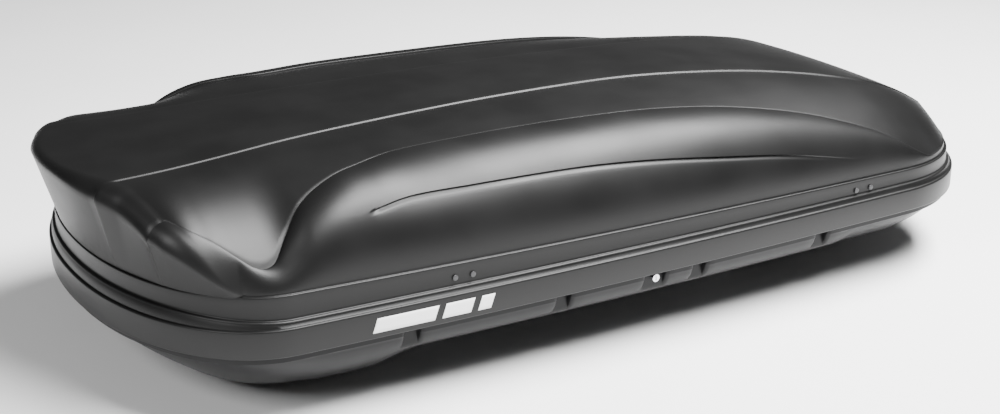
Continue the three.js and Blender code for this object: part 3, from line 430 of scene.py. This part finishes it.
GROOVE_ROWS = (0.0015, 0, -0.0007, -0.0014, -0.0021, -0.0032, -0.0044, -0.0056, -0.0068, -0.0080,
               -0.012)
ABOVE_STEPS, BELOW_STEPS = 11, 18
ROOF_SHARES = [0.94 * i / 15 for i in range(1, 16)] + [0.955, 0.967, 0.978, 0.99, 1]
PLATEAU_STEPS, CREST_STEPS, ROOF_STEPS, ARCH_STEPS = 12, 5, len(ROOF_SHARES), 5
SIDE_STEPS = ABOVE_STEPS + len(GROOVE_ROWS) + BELOW_STEPS - 1
CREST_BAND, ARCH_BAND = 0.004, 0.0022
HALF_STEPS = PLATEAU_STEPS + CREST_STEPS + ROOF_STEPS + ARCH_STEPS + SIDE_STEPS + 1


def arch_fade(x):
    """How much of the arch line's step is left, which runs out towards the nose."""
    return 1 - ramp(*ARCH_END, x / RIM_LENGTH)


def side_power(x):
    start, end = CORNER_BLEND[0] * RIM_LENGTH, CORNER_BLEND[1] * RIM_LENGTH
    return mix(CORNER_POWER, SIDE_POWER, ramp(start, end, x))


def side_shares(x):
    """Shares of the side panel from the arch line to the foot, set close along the groove line."""
    foot_z, edge_z = ledge_height(x) + FOOT_RISE, arch_at(x)[1] + ARCH_STEP
    near = []
    for above in GROOVE_ROWS:
        up = (groove_height(x) + above - foot_z) / (edge_z - foot_z)
        near.append(math.acos(min(1, max(0, up)) ** (side_power(x) / 2)) / (math.pi / 2))
    shares = [near[0] * i / ABOVE_STEPS for i in range(1, ABOVE_STEPS)]
    return shares + near + [mix(near[-1], 1, i / BELOW_STEPS) for i in range(1, BELOW_STEPS + 1)]


def lid_section(station):
    """One half cross-section of the lid body, from the middle out to its foot."""
    along = 1 - ramp(0, LIP_REACH, station)
    crest_guide, arch_guide = crest_at(0)[0], arch_at(0)[0]
    points = []
    for i in range(PLATEAU_STEPS + 1):
        share = i / PLATEAU_STEPS
        x = station + lip_edge(crest_guide * share) * along
        y = crest_at(x)[0] * share
        points.append(Vector((x, y, roof_height(x, y))))
    x = station + lip_edge(crest_guide) * along
    for i in range(1, CREST_STEPS + 1):
        share = i / CREST_STEPS
        y = crest_at(x)[0] + CREST_BAND * share
        step = crest_step(x) * ramp(0, 1, share)
        points.append(Vector((x, y, roof_height(x, y) - step)))
    for share in ROOF_SHARES:
        x = station + lip_edge(mix(crest_guide, arch_guide, share)) * along
        y = mix(crest_at(x)[0] + CREST_BAND, arch_at(x)[0], share)
        step = crest_step(x) * (1 - share) + arch_fade(x) * ARCH_DIP * ramp(0.95, 1, share)
        points.append(Vector((x, y, roof_height(x, y) - step)))
    arch_edge = lip_edge(arch_guide)
    x = station + arch_edge * along
    for i in range(1, ARCH_STEPS + 1):
        points.append(side_point(x, 0, i / ARCH_STEPS))
    for share in side_shares(x):
        points.append(side_point(station + mix(arch_edge, CORNER_AT, share) * along, share, 1))
    last = points[-1]
    points.append(Vector((last.x, last.y, ledge_height(last.x) - FOOT_DEPTH)))
    return points


def side_point(x, share, stepped):
    """A point of the side panel: share runs from the arch line to the foot, stepped over its edge."""
    arch_y, arch_z = arch_at(x)
    foot = side_foot(x)
    edge_y = min(arch_y + ARCH_BAND * stepped, foot - EDGE_INSIDE_FOOT)
    edge_z = arch_z + arch_fade(x) * mix(-ARCH_DIP, ARCH_STEP, ramp(0, 1, stepped))
    angle = share * math.pi / 2
    power = side_power(x)
    out = math.sin(angle) ** (2 / power)
    up = math.cos(angle) ** (2 / power)
    y = mix(edge_y, foot, out)
    z = mix(ledge_height(x) + FOOT_RISE, edge_z, up)
    return Vector((x, y - groove_dent(x, z), z))


def foot_x(y):
    """Where the lid's foot meets half width y on the tail round."""
    low, high = FOOT_INSET, CORNER_AT
    for _ in range(30):
        middle = (low + high) / 2
        if half_width(middle, FOOT_INSET) < y:
            low = middle
        else:
            high = middle
    return high


LIP_STEPS, TAIL_STEPS = 8, 14


def tail_rows(edge):
    """The undercut tail face: rows from the rim's ledge up to the lip."""
    foot = edge[-2]
    ledge = []
    for p in edge:
        high = max(0, (p.z - ledge_height(0)) / LEDGE_TAIL)
        y = min(foot.y, p.y * (1 - CORNER_TUCK * high * (p.y / foot.y) ** 2))
        ledge.append(Vector((foot_x(y), y, ledge_height(0) - FOOT_DEPTH)))
    rows = []
    for i in range(1, LIP_STEPS + 1):
        angle = i / LIP_STEPS * LIP_TURN
        row = []
        for p, low in zip(edge, ledge):
            size = lip_round(p.y) * min(1, max(0, p.z - low.z - FOOT_DEPTH) / LIP_FULL_HEIGHT)
            x, z = p.x - size * math.sin(angle), p.z - size * (1 - math.cos(angle))
            row.append(Vector((x, p.y, z)))
        rows.append(row)
    last = rows[-1]
    for i in range(1, TAIL_STEPS + 1):
        t = i / TAIL_STEPS
        rows.append([p.lerp(low, t) for p, low in zip(last, ledge)])
    return rows[::-1]


FINE_LENGTH, NOSE_LENGTH, POLE_GAP = 0.4, 0.05, 0.00002
LONG_STEPS, NOSE_STEPS = 90, 24


def lid_stations():
    """Places of the cross-sections: close at the tail, wider along the roof, closing at the nose."""
    end = RIM_LENGTH - FOOT_INSET
    places = [FINE_LENGTH * i / LONG_STEPS for i in range(LONG_STEPS)]
    places += [mix(FINE_LENGTH, end - NOSE_LENGTH, i / LONG_STEPS) for i in range(LONG_STEPS)]
    places += [end - NOSE_LENGTH * (1 - i / NOSE_STEPS) ** 2 for i in range(NOSE_STEPS)]
    return places + [end - POLE_GAP]


def add_lid_body(bm):
    sections = [lid_section(x) for x in lid_stations()]
    rows = tail_rows(sections[0]) + sections

    def shape(i, j):
        point = rows[i][abs(j - HALF_STEPS)]
        return TAIL + Vector((point.x, math.copysign(point.y, j - HALF_STEPS), point.z))

    grid(bm, len(rows) - 1, HALF_STEPS * 2, shape)


ROUND_STEPS, STRAIGHT_STEPS, QUARTER_STEPS = 48, 40, 5


def outline_places():
    half = [i / ROUND_STEPS for i in range(ROUND_STEPS)]
    half += [1 + i / STRAIGHT_STEPS for i in range(STRAIGHT_STEPS)]
    half += [2 + i / ROUND_STEPS for i in range(ROUND_STEPS + 1)]
    return [-s for s in half[:0:-1]] + half


def quarter(inset, above, radius):
    """A quarter round from a vertical face to a level one, as (inset, height) steps going up."""
    turns = [i / QUARTER_STEPS * math.pi / 2 for i in range(QUARTER_STEPS + 1)]
    return [(inset + radius * (1 - math.cos(a)), above - radius * (1 - math.sin(a))) for a in turns]


def rim_profile():
    """The rim's outside going up: (inset, which line the height follows, height above that line)."""
    rows = [(0.0022, "edge", 0), (0.0006, "edge", 0.0006), (0, "edge", 0.0022), (0, "bead", -0.012)]
    rows += [(inset, "bead", above) for inset, above in quarter(0, 0, 0.0035)]
    rows += [(0.0045, "bead", 0.0004), (0.0058, "shoulder", -0.0048)]
    rows += [(inset, "shoulder", above) for inset, above in quarter(0.0064, 0, 0.0042)]
    rows += [(0.0112, "shoulder", 0.0003), (0.0120, "shoulder", 0.0012)]
    rows += [(BAND_INSET, "shoulder", 0.0034), (BAND_INSET, "ledge", -0.010)]
    rows += [(inset, "ledge", above) for inset, above in quarter(BAND_INSET, -0.0002, 0.0026)]
    rows += [(0.0157, "ledge", -0.0011), (0.0164, "ledge", -0.0012), (0.0172, "ledge", -0.0006)]
    return rows + [(0.0178, "ledge", 0.0006), (FOOT_INSET + 0.0005, "ledge", 0.0026)]


def shoulder_height(x):
    """The upper edge of the bead, which rises towards the tail."""
    return bead_height(x) + mix(0.0085, 0.020, 1 - ramp(0.02, 0.22, x))


def add_lid_rim(bm):
    places = outline_places()
    profile = rim_profile()
    lines = {"edge": lambda x: 0, "bead": bead_height, "shoulder": shoulder_height, "ledge": ledge_height}

    def shape(i, j):
        inset, line, above = profile[j]
        x, y = rim_point(places[i], inset)
        return TAIL + Vector((x, y, lines[line](x) + above))

    grid(bm, len(places) - 1, len(profile) - 1, shape)


def lid_skin():
    bm = bmesh.new()
    add_lid_body(bm)
    add_lid_rim(bm)
    close_seams(bm)
    return wall(piece("lid_skin", bm, "lid", lid_plastic, "lid_plastic", ["lid_shell"], 50), LID_WALL)


# ---------------------------------------------------------------- base skin

def well_share(x):
    rear = 1 - ramp(REAR_WELL_END - WELL_RAMP, REAR_WELL_END + WELL_RAMP, x)
    front = ramp(FRONT_WELL_START - WELL_RAMP, FRONT_WELL_START + WELL_RAMP, x)
    return rear, front


def tray_height(x, inset):
    rear, front = well_share(x)
    depth = FLOOR_DROP + rear * (BASE_DROP - FLOOR_DROP) + front * (FRONT_WELL_DROP - FLOOR_DROP)
    turn = FLOOR_ROUND + (rear + front) * (WELL_ROUND - FLOOR_ROUND)
    t = min(1, max(0, inset / turn))
    from_ends = ramp(*WELL_SOFT_ENDS, min(x, RIM_LENGTH - x))
    soft = (rear + front) * mix(1, WELL_SOFT_LEAST, from_ends)
    return -depth * (1 - (1 - t) ** mix(FLOOR_BEND, WELL_BEND, soft)) ** mix(FLOOR_EASE, WELL_EASE, soft)


notch_places = [NOTCH_MIDDLE + (i - 1.5) * NOTCH_SPACING for i in range(4)]
hinge_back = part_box("hinge_2_base_leaf")[0].y - CLEARANCE


def recesses(side):
    """The recesses in one side: (middle, half width, distance of its back from the middle plane, top)."""
    if side > 0:
        return [(x, NOTCH_HALF, hinge_back, HINGE_RECESS_TOP) for x in notch_places]
    notch_inset, lock_inset = RIM_TO_BASE + NOTCH_DEPTH, RIM_TO_BASE + LOCK_DEPTH
    found = [(x, NOTCH_HALF, half_width(x, notch_inset), NOTCH_TOP) for x in notch_places]
    return found + [(LOCK_X, LOCK_HALF, half_width(LOCK_X, lock_inset), 0)]


def recessed(x, y, z):
    """Moves a point of the base's side in, where a recess or its rounded shoulder is."""
    reach = abs(y)
    for middle, half, back, top in recesses(y):
        beside = abs(x - middle) - half
        if z > top or beside > FLARE or reach < back:
            continue
        if beside <= 0:
            reach = back
        else:
            reach = max(back, reach - FLARE + math.sqrt(FLARE ** 2 - (FLARE - beside) ** 2))
    return math.copysign(reach, y)


def base_places():
    """Places round the outline, closer together where the recesses have their edges."""
    straight = RIM_LENGTH - NOSE_ROUND - TAIL_ROUND
    xs = {TAIL_ROUND + straight * i / 60 for i in range(60)}
    for middle, half in [(x, NOTCH_HALF) for x in notch_places] + [(LOCK_X, LOCK_HALF)]:
        xs = {x for x in xs if abs(x - middle) > half + FLARE * 1.3}
        for off in (half * 0.5, half - 0.0001, half + 0.0001, half + FLARE * 0.12, half + FLARE * 0.3,
                    half + FLARE * 0.6, half + FLARE):
            xs |= {middle - off, middle + off}
    half_side = [i / ROUND_STEPS for i in range(ROUND_STEPS)]
    half_side += [1 + (x - TAIL_ROUND) / straight for x in sorted(xs)]
    half_side += [2 + i / ROUND_STEPS for i in range(ROUND_STEPS + 1)]
    return [-s for s in half_side[:0:-1]] + half_side


WALL_ROWS = [0.028, 0.022, 0.015, 0.008, 0.0045, 0.0021, 0.0019, 0.0001, -0.0001, -0.002, -0.0039,
             -0.0041, -0.006, -0.008, -0.010]
FLOOR_ROWS = [0.0006, 0.0014, 0.0024, 0.0038, 0.0055, 0.0075, 0.01, 0.013, 0.016, 0.02, 0.0245, 0.029,
              0.034, 0.04, 0.048, 0.056, 0.066, 0.078, 0.092, 0.108, 0.126, 0.146, 0.168, 0.192,
              0.22, 0.25, 0.285, 0.325]


def base_point(s, row):
    x, y = rim_point(s, RIM_TO_BASE)
    reach = RIM_HALF - RIM_TO_BASE
    if row < len(WALL_ROWS):
        return x, recessed(x, y, WALL_ROWS[row]), WALL_ROWS[row]
    insets = FLOOR_ROWS + [reach]
    inset = insets[row - len(WALL_ROWS)]
    t = inset / reach
    spine = min(RIM_LENGTH - NOSE_ROUND, max(TAIL_ROUND, x))
    px = mix(x, spine, t)
    low = min(WALL_ROWS[-1], tray_height(px, t * math.hypot(x - spine, y)))
    return px, recessed(px, y * (1 - t), low), low


def base_skin():
    places = base_places()
    bm = bmesh.new()
    grid(bm, len(places) - 1, len(WALL_ROWS) + len(FLOOR_ROWS),
         lambda i, j: TAIL + Vector(base_point(places[i], j)))
    close_seams(bm)
    return wall(piece("base_skin", bm, "base", base_plastic, "base_plastic", ["base_shell"], 40), BASE_WALL)


# ---------------------------------------------------------------- small parts

ROUNDED_ABOVE = math.radians(38)


def rounded_copy(node, width):
    """A CAD node's shape with its edges rounded, standing for the node."""
    bm = bmesh.new()
    bm.from_mesh(frame["nodes"][node].data)
    bmesh.ops.remove_doubles(bm, verts=bm.verts, dist=1e-5)
    bmesh.ops.dissolve_limit(bm, angle_limit=math.radians(2), verts=bm.verts, edges=bm.edges)
    sharp = [e for e in bm.edges if len(e.link_faces) == 2 and e.calc_face_angle() > ROUNDED_ABOVE]
    bmesh.ops.bevel(bm, geom=sharp, offset=width, segments=2, profile=0.5, affect="EDGES",
                    clamp_overlap=True, material=-1)
    slot = node_slots[node]
    return piece(node + "_finished", bm, node_bodies[node], FINISHES[slot], slot, [node], 45)


SEAL_OVERHANG, SEAL_SKIN = 0.002, 0.001


def seal_ring():
    """The foam seal that lies on the edge of the base, with a round back."""
    low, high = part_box("rim_seal")
    places = outline_places()
    middle, half, turns = RIM_TO_BASE + BASE_WALL / 2, (BASE_WALL + SEAL_OVERHANG) / 2, 10
    base_z = low.z - TAIL.z

    def shape(i, j):
        angle = math.pi * j / turns
        x, y = rim_point(places[i], middle - half * math.cos(angle))
        return TAIL + Vector((x, y, base_z + (high.z - low.z) * math.sin(angle)))

    bm = bmesh.new()
    grid(bm, len(places) - 1, turns, shape)
    close_seams(bm)
    made = piece("seal_bead", bm, "base", seal_rubber, "seal_rubber", ["rim_seal"])
    return wall(made, SEAL_SKIN)


# Each stripe's start and end, as shares of the badge's length.
BADGE_STRIPES = ((0, 0.5), (0.56, 0.8), (0.86, 0.97))
BADGE_MARGIN, BADGE_SLANT, BADGE_PROUD, BADGE_FILM = 0.0015, 0.35, 0.0006, 0.0003


def badge_stripes():
    """Three slanted stripes of film on the rim below the bead."""
    low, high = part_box("side_badge")
    base_z = low.z - TAIL.z
    tall = high.z - low.z - 2 * BADGE_MARGIN
    start, end = low.x - TAIL.x, high.x - TAIL.x
    bm = bmesh.new()
    for begin, stop in BADGE_STRIPES:
        def shape(i, j, begin=begin, stop=stop):
            z = base_z + BADGE_MARGIN + tall * j / 4
            x = mix(start, end, mix(begin, stop, i / 24)) + tall * BADGE_SLANT * j / 4
            return TAIL + Vector((x, -half_width(x, 0) - BADGE_PROUD, z))
        grid(bm, 24, 4, shape)
    bmesh.ops.recalc_face_normals(bm, faces=bm.faces)
    for face in bm.faces:
        if face.normal.y > 0:
            face.normal_flip()
    made = piece("badge_stripes", bm, "lid", badge_film, "badge_film", ["side_badge"])
    return wall(made, BADGE_FILM)


THREAD_LENGTH, THREAD_PITCH, THREAD_DEPTH, BOLT_TURN = 0.042, 0.00125, 0.00045, 0.020


def bolt_path(low, high):
    """Places (x, z, turn, depth of thread) along a U bolt's wire, from one end to the other."""
    radius = (high.y - low.y) / 2
    left, right, bottom = low.x + radius, high.x - radius, low.z + radius
    steps = int(THREAD_LENGTH / THREAD_PITCH * 4)
    path = []
    for i in range(steps + 1):
        cut = THREAD_DEPTH * (1, 0.5, 0, 0.5)[i % 4]
        path.append((left, high.z - THREAD_LENGTH * i / steps, 0, cut))
    for i in range(13):
        angle = i / 12 * math.pi / 2
        x = left + BOLT_TURN * (1 - math.cos(angle))
        path.append((x, bottom + BOLT_TURN * (1 - math.sin(angle)), angle, 0))
    far = [(left + right - x, z, math.pi - angle, cut) for x, z, angle, cut in path]
    return path + far[::-1]


def smooth_bolt(node):
    """A U bolt of round wire with cut threads at both ends."""
    low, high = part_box(node)
    radius, turns = (high.y - low.y) / 2, 16
    middle_y = (low.y + high.y) / 2
    path = bolt_path(low, high)

    def shape(i, j):
        x, z, angle, cut = path[i]
        reach = radius - cut
        around = 2 * math.pi * j / turns
        side = reach * math.cos(around)
        y = middle_y + reach * math.sin(around)
        return Vector((x - side * math.cos(angle), y, z - side * math.sin(angle)))

    bm = bmesh.new()
    grid(bm, len(path) - 1, turns, shape)
    close_seams(bm)
    bmesh.ops.holes_fill(bm, edges=[e for e in bm.edges if e.is_boundary], sides=0)
    bmesh.ops.recalc_face_normals(bm, faces=bm.faces)
    piece(node + "_wire", bm, node_bodies[node], zinc_steel, node_slots[node], [node], 60)


lid_skin()
base_skin()
seal_ring()
badge_stripes()
for node in list(frame["nodes"]):
    if node.startswith("u_bolt"):
        smooth_bolt(node)
ROUNDED = {"bracket": 0.0008, "leaf": 0.0005, "pin": 0.0005, "rib": 0.001, "lock_": 0.0007,
           "striker": 0.0006, "floor_rail": 0.0006, "knob": 0.0015, "strap_buckle": 0.001,
           "rim_screw": 0.0006, "key_barrel": 0.0004, "stay_tube": 0.001, "stay_rod": 0.0006}
for node in list(frame["nodes"]):
    width = next((size for word, size in ROUNDED.items() if word in node), None)
    if width:
        rounded_copy(node, width)


# ---------------------------------------------------------------- studio

def floor():
    bm = bmesh.new()
    bmesh.ops.create_grid(bm, x_segments=1, y_segments=1, size=30)
    mesh = bpy.data.meshes.new("floor")
    bm.to_mesh(mesh)
    bm.free()
    material, nodes, links, shader, place = node_material("floor_white")
    shader.inputs["Roughness"].default_value = 0.9
    shader.inputs["Specular IOR Level"].default_value = 0.1
    two_tone(nodes, links, shader, noise(nodes, links, place, 2), grey(0.86), grey(0.88))
    mesh.materials.append(material)
    made = bpy.data.objects.new("floor", mesh)
    made.location.z = cad_box[0][2] - 0.0005
    bpy.context.collection.objects.link(made)


def area_light(name, place, target, size, power):
    light = bpy.data.lights.new(name, "AREA")
    light.shape = "RECTANGLE"
    light.size, light.size_y = size
    light.energy = power
    made = bpy.data.objects.new(name, light)
    made.location = place
    made.rotation_euler = (Vector(target) - Vector(place)).to_track_quat("-Z", "Y").to_euler()
    bpy.context.collection.objects.link(made)


def world(strength):
    sky = bpy.data.worlds.new("studio")
    bpy.context.scene.world = sky
    sky.use_nodes = True
    back = sky.node_tree.nodes["Background"]
    back.inputs["Color"].default_value = (1, 1, 1, 1)
    back.inputs["Strength"].default_value = strength


def camera():
    lens = bpy.data.cameras.new("camera")
    lens.sensor_width = 36
    lens.lens = 57.6
    made = bpy.data.objects.new("camera", lens)
    made.location = (-1.37478, -2.24897, 1.10421)
    made.rotation_euler = (math.radians(69.38), 0, math.radians(-30.73))
    bpy.context.collection.objects.link(made)
    bpy.context.scene.camera = made


floor()
world(0.1)
area_light("overhead", (1.0, -0.9, 2.8), (0.1, -0.1, 0.2), (3.4, 1.0), 640)
area_light("rear_side", (-3.2, -1.4, 2.4), (-0.5, 0, 0.2), (1.6, 1.2), 90)
camera()
